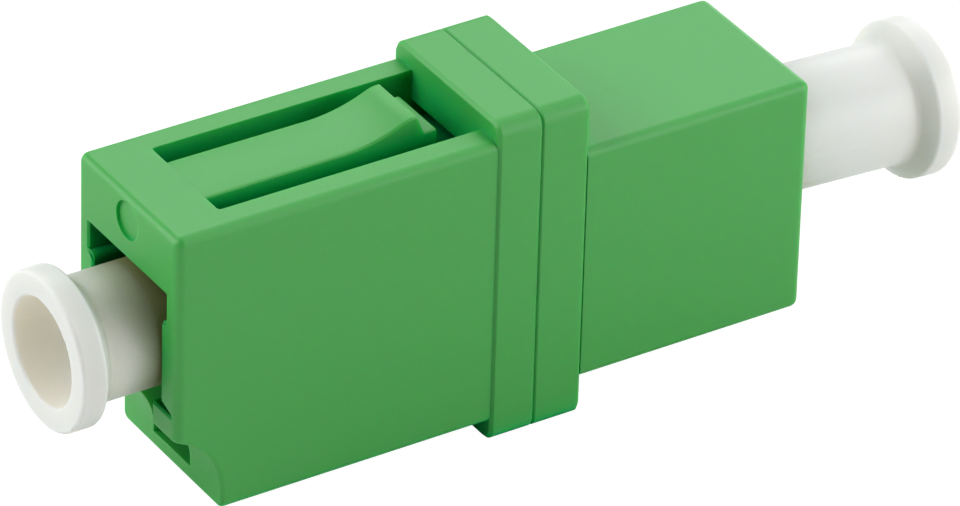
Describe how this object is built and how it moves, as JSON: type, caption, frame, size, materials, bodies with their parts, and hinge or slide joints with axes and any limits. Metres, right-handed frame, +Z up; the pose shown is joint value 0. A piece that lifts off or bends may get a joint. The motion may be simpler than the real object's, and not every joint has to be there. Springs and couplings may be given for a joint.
{
  "type": "lc fibre adapter",
  "caption": "Simplex LC fibre adapter: welded two-half green housing with collar, panel latch tongue, split ceramic sleeve and a white dust cap in each port.",
  "frame": {"origin": "middle of the alignment sleeve on the fibre axis, in the weld plane of the two housing halves", "axes": "+X along the fibre axis to the rear port, the shorter block; +Z up to the side with the panel latch tongue; +Y across"},
  "size_m": [0.0354, 0.0068, 0.0127],
  "materials": {
    "green_housing": "moulded, satin",
    "white_cap": "moulded, satin",
    "ceramic_sleeve": "ground ceramic"
  },
  "bodies": {
    "housing": {"front_housing": "green_housing", "rear_housing": "green_housing", "alignment_sleeve": "ceramic_sleeve"},
    "latch": {"panel_latch_tongue": "green_housing"},
    "front_cap": {"front_dust_cap": "white_cap"},
    "rear_cap": {"rear_dust_cap": "white_cap"}
  },
  "joints": [
    {"name": "latch_flex", "type": "hinge", "parent": "housing", "child": "latch", "pos_m": [-0.01191, 0, 0.00456], "axis": [0, 1, 0], "range_deg": [0, 4.4], "stiffness_Nm_per_rad": 0.3},
    {"name": "front_cap_pull", "type": "slide", "parent": "housing", "child": "front_cap", "axis": [-1, 0, 0], "range_m": [0, 0.0105]},
    {"name": "rear_cap_pull", "type": "slide", "parent": "housing", "child": "rear_cap", "axis": [0.9985, 0, -0.0541], "range_m": [0, 0.0105]}
  ]
}
